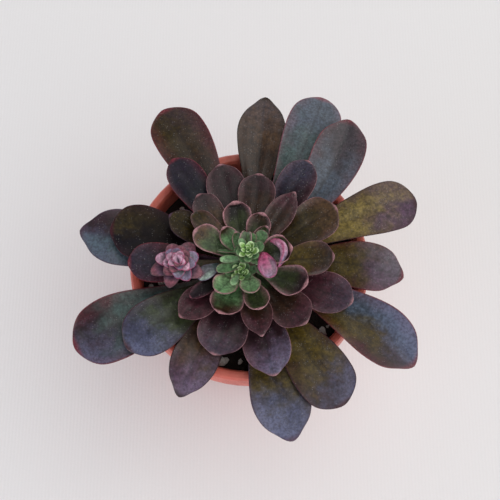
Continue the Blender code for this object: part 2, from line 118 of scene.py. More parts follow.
def grain(tree, scale, detail=2.0, vector=None, roughness=0.5):
    sockets = {"Scale": scale, "Detail": detail, "Roughness": roughness}
    if vector is not None:
        sockets["Vector"] = vector
    return put(tree, "ShaderNodeTexNoise", {"normalize": True}, sockets).outputs[0]


def makeGroup(name, inputs, outputs):
    tree = bpy.data.node_groups.new(name, "ShaderNodeTree")
    for label, value in inputs.items():
        kind = "NodeSocketColor" if isinstance(value, tuple) else "NodeSocketFloat"
        socket = tree.interface.new_socket(name=label, in_out="INPUT", socket_type=kind)
        socket.default_value = value
    for label, kind in outputs.items():
        tree.interface.new_socket(name=label, in_out="OUTPUT", socket_type=kind)
    return tree, tree.nodes.new("NodeGroupInput").outputs, tree.nodes.new("NodeGroupOutput").inputs


def useGroup(tree, group, sockets):
    return put(tree, "ShaderNodeGroup", {"node_tree": group}, sockets).outputs


def spread(tree, seed):
    # the place on the object, moved by a seed so that no two leaves share a pattern
    place = put(tree, "ShaderNodeTexCoord").outputs["Object"]
    shift = put(tree, "ShaderNodeCombineXYZ", None, {"X": seed, "Y": seed, "Z": seed}).outputs[0]
    return put(tree, "ShaderNodeVectorMath", {"operation": "ADD"}, {0: place, 1: shift}).outputs[0]


# Leaf colour from the stem to the tip, with one flank of another colour, painted shade along the midrib and a
# margin. A steel or teal flank is a painted sky reflection on that side of the leaf; other flanks are the
# side's own colour.
def makeLeafTones():
    tree, given, result = makeGroup(
        "leafTones",
        {"Along": 0.5, "Across": 0.0, "Base": tone("olive"), "Middle": tone("olive"), "Tip": tone("olive"),
         "Flank": tone("olive"), "Flank Share": 0.0, "Margin": tone("maroon"), "Margin Width": 0.06,
         "Midrib Shade": 0.3, "Blush": 0.4, "Seed": 0.0},
        {"Color": "NodeSocketColor", "Edge": "NodeSocketFloat"})
    place = spread(tree, given["Seed"])
    drift = calc(tree, "SUBTRACT", grain(tree, 130, 3, place), 0.5)
    along = calc(tree, "ADD", given["Along"], calc(tree, "MULTIPLY", drift, 0.55))
    colour = mixTones(tree, ramp(tree, along, 0.10, 0.46), given["Base"], given["Middle"])
    colour = mixTones(tree, ramp(tree, along, 0.58, 0.92), colour, given["Tip"])
    across = calc(tree, "ADD", given["Across"], calc(tree, "MULTIPLY", drift, 1.1))
    # one side of the leaf takes the flank colour; a steel or teal flank paints the sky's reflection there
    flank = calc(tree, "MULTIPLY", ramp(tree, across, -0.12, 0.38), ramp(tree, along, 0.22, 0.55))
    flank = calc(tree, "MULTIPLY", flank, given["Flank Share"])
    colour = mixTones(tree, flank, colour, given["Flank"])
    blotches = ramp(tree, grain(tree, 420, 4, place, 0.6), 0.30, 0.72, 0.62, 1.38)
    fine = ramp(tree, grain(tree, 1900, 3, place, 0.75), 0.30, 0.72, 0.66, 1.42)
    shade = calc(tree, "MULTIPLY", blotches, fine)
    shades = put(tree, "ShaderNodeCombineColor", None, {"Red": shade, "Green": shade, "Blue": shade})
    colour = mixTones(tree, 1.0, colour, shades.outputs[0], "MULTIPLY")
    sideways = calc(tree, "ABSOLUTE", given["Across"])
    outward = calc(tree, "ADD", sideways, calc(tree, "MULTIPLY", drift, 0.8))
    colour = mixTones(tree, calc(tree, "MULTIPLY", ramp(tree, outward, 0.45, 1.05), given["Blush"]), colour,
                      given["Margin"])
    # painted shade along the midrib crease
    rib = calc(tree, "MULTIPLY", ramp(tree, sideways, 0.11, 0.01), given["Midrib Shade"])
    colour = mixTones(tree, rib, colour, tone("coal"))
    inner = calc(tree, "SUBTRACT", 1.0, given["Margin Width"])
    tipInner = calc(tree, "SUBTRACT", 1.0, calc(tree, "MULTIPLY", given["Margin Width"], 0.35))
    edge = calc(tree, "MAXIMUM", ramp(tree, sideways, inner, 1.0),
                ramp(tree, given["Along"], tipInner, 1.0))
    edge = calc(tree, "MULTIPLY", edge, ramp(tree, given["Along"], 0.10, 0.35), True)
    colour = mixTones(tree, edge, colour, given["Margin"])
    tree.links.new(colour, result["Color"])
    tree.links.new(edge, result["Edge"])
    return tree


# A pale tint that some leaves carry near the tip, stronger towards one side: partly the leaf's waxy bloom,
# partly a painted sheen where the tip would reflect the sky.
def makeWaxAndSheen():
    tree, given, result = makeGroup(
        "waxAndSheen", {"Along": 0.5, "Across": 0.0, "Start": 0.6, "Side": 0.0, "Amount": 0.0, "Seed": 0.0},
        {"Mask": "NodeSocketFloat"})
    place = spread(tree, given["Seed"])
    cloud = calc(tree, "SUBTRACT", grain(tree, 260, 4, place, 0.6), 0.5)
    lean = calc(tree, "MULTIPLY", given["Across"], given["Side"])
    height = calc(tree, "ADD", calc(tree, "ADD", given["Along"], calc(tree, "MULTIPLY", lean, 0.35)),
                  calc(tree, "MULTIPLY", cloud, 0.45))
    mask = ramp(tree, calc(tree, "SUBTRACT", height, given["Start"]), -0.16, 0.22)
    patches = ramp(tree, grain(tree, 700, 5, place, 0.7), 0.30, 0.60, 0.70, 1.0)
    mask = calc(tree, "MULTIPLY", calc(tree, "MULTIPLY", mask, patches), given["Amount"])
    tree.links.new(mask, result["Mask"])
    return tree


# Small pale pores and dust specks, scattered unevenly; they also stand in for tiny glints of light, a painted
# highlight.
def makePoresAndGlints():
    tree, given, result = makeGroup("poresAndGlints", {"Scale": 900.0, "Size": 0.22, "Share": 0.5, "Seed": 0.0},
                                    {"Mask": "NodeSocketFloat"})
    place = spread(tree, given["Seed"])
    cells = put(tree, "ShaderNodeTexVoronoi", None, {"Vector": place, "Scale": given["Scale"]})
    half = calc(tree, "MULTIPLY", given["Size"], 0.5)
    dot = put(tree, "ShaderNodeMapRange", {"interpolation_type": "SMOOTHSTEP"},
              {"Value": cells.outputs["Distance"], "From Min": given["Size"], "From Max": half,
               "To Min": 0.0, "To Max": 1.0}).outputs[0]
    pick = put(tree, "ShaderNodeSeparateColor", None, {0: cells.outputs["Color"]}).outputs[0]
    kept = calc(tree, "LESS_THAN", pick, given["Share"])
    patchy = ramp(tree, grain(tree, 260, 2, place), 0.40, 0.60)
    mask = calc(tree, "MULTIPLY", calc(tree, "MULTIPLY", dot, kept), patchy)
    tree.links.new(mask, result["Mask"])
    return tree


# Dark flecks that mottle the skin.
def makeFlecks():
    tree, given, result = makeGroup("flecks", {"Amount": 0.3, "Seed": 0.0}, {"Mask": "NodeSocketFloat"})
    cloud = grain(tree, 950, 5, spread(tree, given["Seed"]), 0.65)
    tree.links.new(calc(tree, "MULTIPLY", ramp(tree, cloud, 0.42, 0.62), given["Amount"]), result["Mask"])
    return tree


# Fine creases that run along a leaf, and the skin's own grain.
def makeSkinRelief():
    tree, given, result = makeGroup(
        "skinRelief", {"Along": 0.5, "Across": 0.0, "Width": 0.02, "Veins": 0.2, "Seed": 0.0},
        {"Height": "NodeSocketFloat"})
    place = spread(tree, given["Seed"])
    lanes = calc(tree, "MULTIPLY", calc(tree, "MULTIPLY", given["Across"], given["Width"]), 420.0)
    track = put(tree, "ShaderNodeCombineXYZ", None,
                {"X": lanes, "Y": calc(tree, "MULTIPLY", given["Along"], 2.2), "Z": given["Seed"]}).outputs[0]
    creases = ramp(tree, grain(tree, 1.0, 4, track, 0.55), 0.25, 0.75)
    pits = grain(tree, 1500, 4, place, 0.6)
    dents = grain(tree, 210, 2, place)
    height = calc(tree, "ADD", calc(tree, "MULTIPLY", creases, given["Veins"]),
                  calc(tree, "MULTIPLY", pits, 0.45))
    height = calc(tree, "ADD", height, calc(tree, "MULTIPLY", dents, 0.60))
    tree.links.new(height, result["Height"])
    return tree


# Scuffs and fading on a moulded or woody surface.
def makeWear():
    tree, given, result = makeGroup("wear", {"Scale": 60.0, "Amount": 0.5, "Seed": 0.0},
                                    {"Mask": "NodeSocketFloat", "Height": "NodeSocketFloat"})
    place = spread(tree, given["Seed"])
    cloud = grain(tree, given["Scale"], 5, place, 0.65)
    mask = calc(tree, "MULTIPLY", ramp(tree, cloud, 0.42, 0.72), given["Amount"])
    stretched = put(tree, "ShaderNodeVectorMath", {"operation": "MULTIPLY"},
                    {0: place, 1: (1.0, 1.0, 14.0)}).outputs[0]
    tree.links.new(mask, result["Mask"])
    tree.links.new(grain(tree, 900, 3, stretched), result["Height"])
    return tree


leafTones = makeLeafTones()
waxAndSheen = makeWaxAndSheen()
poresAndGlints = makePoresAndGlints()
flecks = makeFlecks()
skinRelief = makeSkinRelief()
wear = makeWear()
print("shared effects made")


def newMaterial(name):
    material = bpy.data.materials.new(name)
    material.use_nodes = True
    return material, material.node_tree, material.node_tree.nodes["Principled BSDF"]


def raiseSurface(tree, shader, height, strength, distance):
    bump = put(tree, "ShaderNodeBump", None, {"Strength": strength, "Distance": distance, "Height": height})
    tree.links.new(bump.outputs[0], shader.inputs["Normal"])


def reading(tree, name):
    return put(tree, "ShaderNodeAttribute", {"attribute_name": name}).outputs["Fac"]


# Tones run from the stem to the tip. Shape values are millimetres on a leaf of full width.
# The pale tint near the tip is partly waxy bloom and partly a painted sheen, and the darker midrib is painted
# shade.
plainLook = {
    "base": "umber", "middle": "umber", "tip": "plum", "flank": None, "margin": "maroon",
    "marginWidth": 0.07, "midrib": 0.35, "blush": 0.3, "waxSheen": 0.0, "waxSheenSide": 0.0, "waxSheenStart": 0.72,
    "waxSheenTone": "waxSheen", "poresAndGlints": 0.5, "folds": 0.0, "wave": 0.35, "rib": 0.4, "roughness": 0.33,
    "point": 1.2, "lip": 0.2, "droop": 0.0, "veins": 0.12, "thinEdge": 0.45, "shine": 0.42,
    "mottle": 0.45,
}


# What every leaf's skin shares: pale specks to the metre, which are pores and dust and partly painted glints,
# and in metres the widths from which a leaf has the large grid and its relief in full. A grid is rows along
# the leaf and points around it.
skin = {"poreAndGlintScale": 1150.0, "poreAndGlintSize": 0.30, "poreAndGlintStrength": 0.32, "filmDullness": 0.10,
        "largeWidth": 0.012, "fullReliefWidth": 0.020, "largeGrid": (46, 36), "smallGrid": (26, 24)}


def leafMaterial(name, look, width, seed):
    material, tree, shader = newMaterial(name)
    along = reading(tree, "along")
    across = reading(tree, "across")
    colours = useGroup(tree, leafTones, {
        "Along": along, "Across": across, "Base": tone(look["base"]), "Middle": tone(look["middle"]),
        "Tip": tone(look["tip"]), "Flank": tone(look["flank"] or look["middle"]),
        "Flank Share": 1.0 if look["flank"] else 0.0, "Margin": tone(look["margin"]),
        "Margin Width": look["marginWidth"], "Midrib Shade": look["midrib"],
        "Blush": look["blush"], "Seed": seed})
    waxSheen = useGroup(tree, waxAndSheen, {"Along": along, "Across": across, "Start": look["waxSheenStart"],
                                    "Side": look["waxSheenSide"], "Amount": look["waxSheen"], "Seed": seed})["Mask"]
    dots = useGroup(tree, poresAndGlints, {"Scale": skin["poreAndGlintScale"], "Size": skin["poreAndGlintSize"],
                                  "Share": look["poresAndGlints"], "Seed": seed})["Mask"]
    creases = useGroup(tree, skinRelief, {"Along": along, "Across": across, "Width": width,
                                          "Veins": look["veins"], "Seed": seed})
    inside = calc(tree, "SUBTRACT", 1.0, colours["Edge"])
    # the pale tint near the tip, waxy bloom and painted sheen, kept off the margin
    colour = mixTones(tree, calc(tree, "MULTIPLY", waxSheen, inside), colours["Color"], tone(look["waxSheenTone"]))
    fleck = useGroup(tree, flecks, {"Amount": look["mottle"], "Seed": seed})["Mask"]
    colour = mixTones(tree, fleck, colour, tone("coal"))
    # pale specks: pores and dust, and in part painted glints
    colour = mixTones(tree, calc(tree, "MULTIPLY", dots, skin["poreAndGlintStrength"]), colour, tone("dust"))
    tree.links.new(colour, shader.inputs["Base Color"])
    gloss = calc(tree, "ADD", look["roughness"], calc(tree, "MULTIPLY", waxSheen, skin["filmDullness"]))
    gloss = calc(tree, "ADD", gloss, ramp(tree, grain(tree, 500, 3), 0.3, 0.7, -0.06, 0.08))
    tree.links.new(gloss, shader.inputs["Roughness"])
    shader.inputs["Specular IOR Level"].default_value = look["shine"]
    raiseSurface(tree, shader, creases["Height"], 0.55, 0.0004)
    return material


# How the frame's leaves are made: rings of 8 or 12 points between two single ones. Weld is in metres.
frameLeaf = {"weld": 0.000002, "fewestLevels": 7, "sides": (8, 12)}


# Reads a leaf of the frame back as rings of points, from the stem to the tip.
def leafRings(node, root):
    mesh = bmesh.new()
    mesh.from_mesh(node.data)
    bmesh.ops.remove_doubles(mesh, verts=mesh.verts, dist=frameLeaf["weld"])
    mesh.verts.ensure_lookup_table()
    mesh.verts.index_update()
    levels = []
    for pole in mesh.verts:
        levels = [[pole.index]]
        seen = {pole.index}
        while True:
            around = {edge.other_vert(mesh.verts[i]).index
                      for i in levels[-1] for edge in mesh.verts[i].link_edges}
            around = sorted(around - seen)
            if not around:
                break
            seen.update(around)
            levels.append(around)
        sizes = [len(level) for level in levels]
        alike = len(set(sizes[1:-1])) == 1 and sizes[1] in frameLeaf["sides"]
        if len(sizes) >= frameLeaf["fewestLevels"] and sizes[-1] == 1 and alike:
            break
    points = {vert.index: np.array(vert.co) for vert in mesh.verts}
    first, last = points[levels[0][0]], points[levels[-1][0]]
    if math.dist(first[:2], root[:2]) > math.dist(last[:2], root[:2]):
        levels.reverse()
    sides = len(levels[1])
    centres = [np.mean([points[i] for i in level], axis=0) for level in levels]
    rings = [np.repeat(centres[0][None], sides, axis=0)]
    for k in range(1, len(levels) - 1):
        level = levels[k]
        forward = centres[k + 1] - centres[k - 1]
        aside = np.cross((0, 0, 1), forward)
        aside /= np.linalg.norm(aside)
        upward = np.cross(forward, aside)
        start = max(level, key=lambda i: float(np.dot(points[i] - centres[k], aside)))
        inLevel = set(level)
        near = [edge.other_vert(mesh.verts[start]).index for edge in mesh.verts[start].link_edges]
        near = [i for i in near if i in inLevel]
        ahead = max(near, key=lambda i: float(np.dot(points[i], upward)))
        order = [start, ahead]
        while len(order) < sides:
            last = mesh.verts[order[-1]]
            steps = [edge.other_vert(last).index for edge in last.link_edges]
            order.append(next(i for i in steps if i in inLevel and i not in order))
        rings.append(np.array([points[i] for i in order]))
    rings.append(np.repeat(centres[-1][None], sides, axis=0))
    mesh.free()
    return np.array(rings)


# Smooth curve through samples, read at fractional places along an axis.
def throughPoints(samples, places, wrap):
    count = len(samples)
    low = np.floor(places).astype(int)
    share = (places - low).reshape(-1, *([1] * (samples.ndim - 1)))
    picks = [(low + shift) % count if wrap else np.clip(low + shift, 0, count - 1)
             for shift in (-1, 0, 1, 2)]
    a, b, c, d = [samples[pick] for pick in picks]
    return 0.5 * (2 * b + (c - a) * share + (2 * a - 5 * b + 4 * c - d) * share ** 2
                  + (3 * b - a - 3 * c + d) * share ** 3)


def refined(rings, lengthwise, around):
    sides = rings.shape[1]
    over = np.roll(rings, sides // 2, axis=1)
    longer = np.concatenate([over[2:0:-1], rings, over[-2:-4:-1]])
    places = 2 + np.linspace(0, len(rings) - 1, lengthwise)
    dense = throughPoints(longer, places, False)
    dense = throughPoints(dense.transpose(1, 0, 2), np.arange(around) * sides / around, True)
    return dense.transpose(1, 0, 2)


def smooth(value, low, high):
    share = np.clip((value - low) / (high - low), 0, 1)  # also falls, where low is over high
    return share * share * (3 - 2 * share)


# Across a leaf, 0 is its midrib and 1 its edge. The underside's rib and folds are shares of the top's.
relief = {"ribWidth": 0.10, "underRibWidth": 0.12, "underRib": 0.8, "foldPlaces": (-0.42, 0.40),
          "foldWidth": 0.09, "underFold": 0.6, "wander": 0.06, "dentScale": 130, "dentHeight": 0.45,
          "tipWidth": 0.34}


# Thins the edges and adds the midrib, folds, waves and dents of a grown leaf.
def shaped(grid, look, width, seed):
    rows, columns, _ = grid.shape
    turn = 2 * np.pi * np.arange(columns) / columns
    across = np.cos(turn)[None, :]
    upper = np.sin(turn)[None, :]
    along = ((1 - np.cos(np.pi * np.arange(rows) / (rows - 1))) / 2)[:, None]
    mirrored = grid[:, (-np.arange(columns)) % columns]
    middle = (grid + mirrored) / 2
    thinner = look["thinEdge"] * smooth(np.abs(across), 0.45, 0.98) * smooth(along, 0.08, 0.3)
    grid = grid + (middle - grid) * thinner[..., None]
    top = grid[:, columns // 4]
    under = grid[:, 3 * columns // 4]
    upward = top - under
    upward /= np.linalg.norm(upward, axis=1, keepdims=True) + 1e-9
    upward[0], upward[-1] = upward[1], upward[-2]
    window = smooth(along, 0.06, 0.25) * (1 - smooth(along, 0.84, 0.97))
    face = smooth(upper, 0.0, 0.5)
    back = smooth(-upper, 0.0, 0.5)
    lift = -look["rib"] * np.exp(-(across / relief["ribWidth"]) ** 2) * window * face
    underRib = relief["underRib"] * np.exp(-(across / relief["underRibWidth"]) ** 2)
    lift = lift - look["rib"] * underRib * window * back
    wander = relief["wander"] * np.sin(5 * along + seed)
    for place in relief["foldPlaces"]:
        fold = np.exp(-((across - place - wander) / relief["foldWidth"]) ** 2) * window
        lift = lift - look["folds"] * fold * (face + relief["underFold"] * back)
    longWave = np.sin(2 * np.pi * (2.3 * along + 0.31 * seed))
    shortWave = np.sin(2 * np.pi * (4.1 * along - 0.17 * seed))
    lift = lift + look["wave"] * (longWave + 0.5 * shortWave) * across ** 3 * smooth(along, 0.25, 0.5)
    scale = min(1.0, width / skin["fullReliefWidth"])
    shift = Vector((seed, 0, 0))
    dents = np.array([[noise.noise(Vector(grid[i, j]) * relief["dentScale"] + shift)
                       for j in range(columns)] for i in range(rows)])
    lift = lift + relief["dentHeight"] * dents * face * smooth(along, 0.1, 0.3)
    rim = np.maximum(smooth(np.abs(across), 0.70, 1.0), smooth(along, 0.88, 1.0))
    lift = lift + look["lip"] * rim ** 2 * smooth(along, 0.3, 0.6)
    lift = lift - look["droop"] * smooth(along, 0.72, 1.0) ** 2
    grid = grid + upward[:, None, :] * (lift * scale * millimetre)[..., None]
    onward = grid[-3].mean(axis=0) - grid[-8].mean(axis=0)
    onward /= np.linalg.norm(onward)
    nib = np.exp(-(across * smooth(along, 1.02, 0.93) / relief["tipWidth"]) ** 2)
    nib = look["point"] * nib * smooth(along, 0.93, 1.0)
    grid = grid + onward * (nib * scale * millimetre)[..., None]
    grid[0] = grid[0].mean(axis=0)
    grid[-1] = grid[-1].mean(axis=0)
    return grid, along, across


# One mesh from (grid, along, across) leaves. A grid's first and last rows are single points.
def gridMesh(name, leaves):
    verts, faces, values = [], [], {"along": [], "across": []}
    for grid, along, across in leaves:
        rows, columns, _ = grid.shape
        start = len(verts)
        verts.append(grid[0, 0])
        verts.extend(grid[1:-1].reshape(-1, 3))
        verts.append(grid[-1, 0])
        last = len(verts) - 1
        inner = rows - 2
        values["along"] += [0.0] + list(np.repeat(along[1:-1, 0], columns)) + [1.0]
        values["across"] += [0.0] + list(np.tile(across[0], inner)) + [0.0]
        for j in range(columns):
            after = (j + 1) % columns
            faces.append((start, start + 1 + after, start + 1 + j))
            for i in range(inner - 1):
                here = start + 1 + i * columns
                faces.append((here + j, here + after, here + columns + after, here + columns + j))
            ending = start + 1 + (inner - 1) * columns
            faces.append((ending + j, ending + after, last))
    mesh = bpy.data.meshes.new(name)
    mesh.from_pydata([tuple(vert) for vert in verts], [], faces)
    for key, numbers in values.items():
        attribute = mesh.attributes.new(key, "FLOAT", "POINT")
        attribute.data.foreach_set("value", np.array(numbers, dtype=np.float32))
    turned = bmesh.new()
    turned.from_mesh(mesh)
    bmesh.ops.recalc_face_normals(turned, faces=turned.faces)
    turned.to_mesh(mesh)
    turned.free()
    mesh.shade_smooth()
    return addObject(name, mesh)


def addObject(name, data):
    obj = bpy.data.objects.new(name, data)
    scene.collection.objects.link(obj)
    return obj


def centreOf(name):
    low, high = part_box(name)
    return (low + high) / 2


# The rolled pale lip of the middle leaves, and the thicker one of the inner leaves.
middleLook = {"margin": "shell", "marginWidth": 0.04, "blush": 0.18,
              "lip": 0.7, "point": -0.5, "thinEdge": 0.2}
innerLook = {"margin": "curl", "marginWidth": 0.16, "lip": 1.7, "point": -0.9, "thinEdge": -0.25}

# Tones and shape of each leaf of the rosette, where they differ from the plain look.
leafLooks = {
    "outer_leaf_north_west": {
        "base": "moss", "tip": "moss", "midrib": 0.3, "waxSheen": 0.3, "waxSheenSide": -0.8, "waxSheenStart": 0.85,
        "waxSheenTone": "mauve", "shine": 0.28, "point": -0.4, "droop": 2.0},
    "outer_leaf_north": {
        "base": "slate", "tip": "bronze", "margin": "umber", "waxSheen": 0.25, "waxSheenStart": 0.84,
        "folds": 0.45, "veins": 0.2, "droop": 2.0},
    # Its teal and steel tones are partly the leaf's colour and partly a painted sky reflection.
    "outer_leaf_north_east_low": {
        "base": "dust", "middle": "teal", "tip": "steel", "margin": "rose", "waxSheen": 0.25,
        "waxSheenStart": 0.5, "waxSheenTone": "mist", "folds": 0.2, "veins": 0.2, "point": -0.4},
    # Its teal flank is a painted sky reflection.
    "outer_leaf_west": {
        "middle": "wine", "flank": "teal", "margin": "mauve", "waxSheen": 0.35, "waxSheenSide": 1.0,
        "waxSheenStart": 0.86, "waxSheenTone": "sheen", "droop": 2.0},
    "outer_leaf_south_west_low": {
        "base": "olive", "middle": "teal", "waxSheen": 0.45, "waxSheenSide": 0.5, "waxSheenStart": 0.88,
        "waxSheenTone": "sheen", "point": -0.4, "droop": 2.0},
    "outer_leaf_east": {
        "base": "grape", "middle": "olive", "tip": "mauve", "waxSheen": 0.5, "waxSheenSide": 0.4,
        "waxSheenStart": 0.88, "waxSheenTone": "mist", "droop": 2.0},
    # Its steel flank is a painted sky reflection.
    "outer_leaf_south_east_fold": {
        "base": "moss", "middle": "olive", "flank": "steel", "waxSheen": 0.5, "waxSheenSide": 0.8,
        "waxSheenStart": 0.86, "waxSheenTone": "sheen", "folds": 0.3, "droop": 2.0},
    "outer_leaf_south": {
        "base": "bronze", "middle": "olive", "tip": "slate", "margin": "mauve", "waxSheen": 0.6,
        "waxSheenSide": -0.3, "waxSheenStart": 0.84, "waxSheenTone": "sheen", "folds": 0.15, "veins": 0.2,
        "droop": 2.0},
    "outer_leaf_south_south_west": {
        "base": "bronze", "middle": "bronze", "tip": "mauve", "margin": "plum", "waxSheen": 0.5,
        "waxSheenSide": 0.5, "waxSheenStart": 0.86, "waxSheenTone": "lavender", "droop": 2.0},
    "outer_leaf_south_east": {
        "base": "bronze", "middle": "olive", "margin": "wine", "waxSheen": 0.5, "waxSheenSide": 0.3,
        "waxSheenStart": 0.88, "waxSheenTone": "sheen", "shine": 0.32, "point": -0.4, "droop": 2.0},
    "outer_leaf_east_north_east": {
        "base": "bronze", "middle": "khaki", "tip": "mauve", "flank": "khaki", "margin": "wine",
        "midrib": 0.1, "waxSheen": 0.6, "waxSheenSide": 0.9, "waxSheenStart": 0.88, "waxSheenTone": "mauve",
        "shine": 0.35, "poresAndGlints": 0.8, "point": -0.4, "droop": 2.0},
    "outer_leaf_west_over": {
        "base": "moss", "middle": "coal", "tip": "moss", "flank": "coal", "margin": "wine", "waxSheen": 0.05,
        "shine": 0.1, "point": -0.4},
    "outer_leaf_south_west_over": {
        "base": "coal", "middle": "sage", "tip": "slate", "margin": "wine", "waxSheen": 0.45,
        "waxSheenSide": 0.6, "waxSheenStart": 0.86, "waxSheenTone": "sheen", "point": -0.4, "droop": 2.0},
    # Its steel tones are partly the leaf's colour and partly a painted sky reflection.
    "outer_leaf_north_east_over": {
        "base": "steel", "middle": "steel", "midrib": 0.4, "waxSheen": 0.25, "waxSheenStart": 0.5,
        "waxSheenTone": "mist", "folds": 0.7, "veins": 0.2},
    "outer_leaf_west_low": {
        "base": "mauve", "middle": "grape", "waxSheen": 0.2, "shine": 0.15, "point": -0.4},
    "outer_leaf_north_north_west": {
        "base": "plum", "middle": "night", "tip": "grape", "waxSheen": 0.1, "shine": 0.2, "point": -0.4},
    "middle_leaf_north_west": {**middleLook, "base": "wine", "middle": "plum", "shine": 0.28},
    "middle_leaf_north_east": {
        **middleLook, "base": "grape", "middle": "grape", "waxSheen": 0.3, "waxSheenSide": 0.6, "shine": 0.18},
    "middle_leaf_south": {
        **middleLook, "base": "grape", "middle": "plum", "tip": "mauve", "waxSheen": 0.45, "waxSheenSide": 0.4,
        "waxSheenStart": 0.84, "waxSheenTone": "sheen", "point": 0.5},
    "middle_leaf_south_south_west": {
        **middleLook, "base": "grape", "middle": "plum", "tip": "wine", "waxSheen": 0.3, "waxSheenStart": 0.8},
    "middle_leaf_east_south_east": {
        **middleLook, "base": "grape", "middle": "wine", "tip": "wine", "waxSheen": 0.25, "waxSheenStart": 0.8},
    "middle_leaf_south_west": {
        **middleLook, "base": "olive", "middle": "wine", "tip": "wine", "shine": 0.3},
    "middle_leaf_east_north_east": {
        **middleLook, "base": "sage", "middle": "moss", "tip": "bronze", "shine": 0.35},
    "middle_leaf_north": {**middleLook, "base": "sage", "shine": 0.28},
    "middle_leaf_west_north_west": {
        **middleLook, "base": "sage", "middle": "moss", "tip": "moss", "margin": "mauve", "shine": 0.12},
    "middle_leaf_south_east": {**middleLook, "base": "fern", "tip": "wine"},
    "middle_leaf_east": {**middleLook, "base": "sage", "middle": "olive", "tip": "umber"},
    "middle_leaf_north_north_west": {**middleLook, "base": "sage", "middle": "bronze", "shine": 0.3},
    "middle_leaf_north_east_point": {
        **middleLook, "base": "fern", "tip": "wine", "lip": 0.6, "point": 0.4, "thinEdge": 0.45},
    "middle_leaf_south_point": {
        **middleLook, "base": "olive", "tip": "wine", "lip": 0.6, "point": 0.4, "thinEdge": 0.45},
    "middle_leaf_west_sliver": {
        **middleLook, "base": "sage", "middle": "bronze", "tip": "moss", "shine": 0.25},
    "inner_leaf_east": {**innerLook, "base": "mint", "middle": "sage"},
    "inner_leaf_south_west": {
        **innerLook, "base": "mint", "middle": "leaf", "tip": "umber", "shine": 0.35},
    "inner_leaf_north": {**innerLook, "base": "mint", "middle": "sage", "tip": "coal", "shine": 0.2},
    "inner_leaf_west": {**innerLook, "base": "leaf", "middle": "fern", "tip": "bronze", "shine": 0.3},
    "inner_leaf_south_west_low": {
        **middleLook, "base": "fern", "middle": "coal", "tip": "grape", "margin": "rose",
        "marginWidth": 0.055, "blush": 0.3, "shine": 0.15},
    "inner_leaf_south": {**innerLook, "base": "mint", "middle": "sage", "tip": "sage"},
    "inner_leaf_north_east": {
        **innerLook, "base": "leaf", "middle": "sage", "tip": "umber", "shine": 0.25},
    "inner_leaf_west_south_west": {**innerLook, "base": "mint", "middle": "mint", "tip": "leaf"},
    "inner_leaf_south_green": {**innerLook, "base": "mint", "middle": "mint", "tip": "leaf"},
    "inner_leaf_north_west_curled": {**innerLook, "base": "mint", "middle": "leaf", "tip": "moss"},
    "heart_leaf_north_east": {**innerLook, "base": "mint", "middle": "leaf", "tip": "sage"},
    "pink_leaf_outer": {
        **innerLook, "base": "leaf", "middle": "sage", "tip": "coal", "flank": "sage", "blush": 0.1,
        "lip": 1.2, "point": -0.5, "thinEdge": -0.4},
    "heart_leaf_north_west": {**innerLook, "base": "mint", "middle": "leaf", "tip": "fern"},
    "heart_leaf_north": {**innerLook, "base": "leaf", "middle": "fern", "tip": "fern"},
}


def makeLeaves():
    stemPlace = centreOf("stem")
    for number, (name, changes) in enumerate(leafLooks.items()):
        look = {**plainLook, **changes}
        rings = leafRings(nodes[name], stemPlace)
        width = max(np.linalg.norm(ring[0] - ring[len(ring) // 2]) for ring in rings)
        grid = refined(rings, *skin["largeGrid" if width > skin["largeWidth"] else "smallGrid"])
        seed = 1.7 * number + 0.3
        piece = gridMesh(name + "_skin", [shaped(grid, look, width, seed)])
        piece.data.materials.append(leafMaterial(name + "_skin", look, float(width), seed))
        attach(piece, "root")
        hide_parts(name)


makeLeaves()
print("leaves grown:", len(leafLooks))


smallGrid = (16, 14)  # rows along a small leaf and points around it


# A small leaf from its own measures in millimetres and degrees, for tips and scales.
def smallLeaf(base, heading, reach, width, rise, arch=0.4, cup=0.5, thick=0.7, widest=0.6, roll=0.0,
              blunt=2.2):
    rows, columns = smallGrid
    angle = math.radians(heading)
    ahead = np.array((math.cos(angle), math.sin(angle), 0.0))
    aside = np.array((-ahead[1], ahead[0], 0.0))
    start = np.array(base)
    tip = start + (ahead * reach + np.array((0, 0, rise))) * millimetre
    forward = (tip - start) / np.linalg.norm(tip - start)
    upward = np.cross(forward, aside)
    tilt = math.radians(roll)
    aside, upward = (aside * math.cos(tilt) + upward * math.sin(tilt),
                     upward * math.cos(tilt) - aside * math.sin(tilt))
    along = ((1 - np.cos(np.pi * np.arange(rows) / (rows - 1))) / 2)[:, None]
    turn = 2 * np.pi * np.arange(columns) / columns
    across = np.cos(turn)[None, :]
    upper = np.sin(turn)[None, :]
    swell = np.where(along < widest, 0.45 + 0.55 * smooth(along, 0.0, widest),
                     np.sqrt(np.clip(1 - np.clip((along - widest) / (1 - widest), 0, 1) ** blunt, 0, 1)))
    swell = swell * np.sqrt(np.clip(1 - (1 - np.clip(along / 0.12, 0, 1)) ** 2, 0, 1))
    body = np.sqrt(np.clip(1 - np.abs(2 * along - 1) ** 6, 0, 1)) * (1 - 0.4 * along)
    sideways = swell * across * width / 2
    height = arch * 4 * along * (1 - along) + body * upper * thick / 2 + cup * across ** 2 * swell
    grid = (start + (tip - start) * along[..., None] + aside * (sideways * millimetre)[..., None]
            + upward * (height * millimetre)[..., None])
    grid[0], grid[-1] = start, tip
    return grid, along, across


